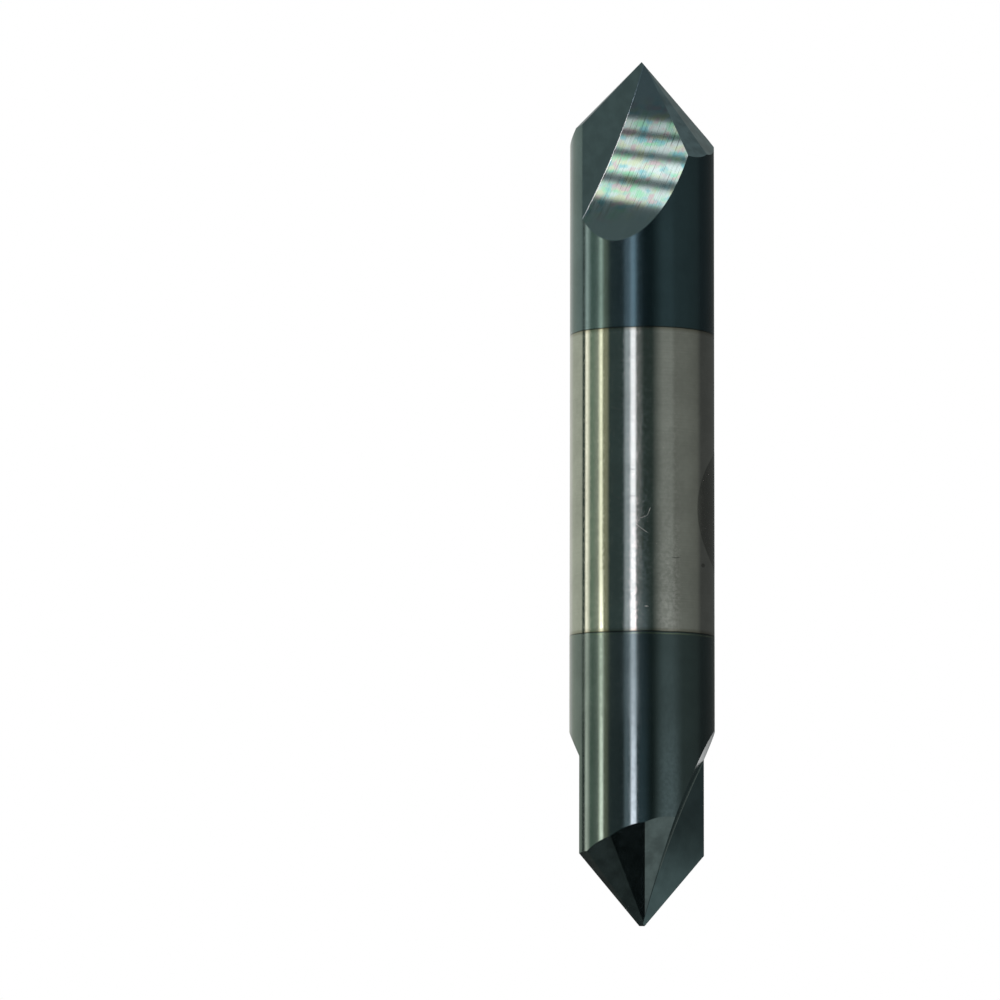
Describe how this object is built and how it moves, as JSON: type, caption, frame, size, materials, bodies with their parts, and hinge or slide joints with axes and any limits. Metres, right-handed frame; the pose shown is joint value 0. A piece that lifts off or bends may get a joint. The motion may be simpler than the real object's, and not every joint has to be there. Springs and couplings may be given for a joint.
{
  "type": "chamfer mill",
  "caption": "Double-ended solid carbide chamfer mill with a pointed, straight-fluted ninety-degree cutting end on each side of a plain round shank.",
  "frame": {"origin": "middle of the tool, on its axis, halfway between the two points", "axes": "+Z along the tool's axis towards the end that is uppermost in the picture, +X along the cutting lips of both ends"},
  "size_m": [0.0126, 0.0126, 0.0762],
  "materials": {
    "ground_carbide": "ground and polished cemented carbide, bare in the middle, with a thin dark blue-grey hard coating on both ends"
  },
  "bodies": {
    "root": {"chamfer_mill": "ground_carbide"}
  },
  "joints": []
}
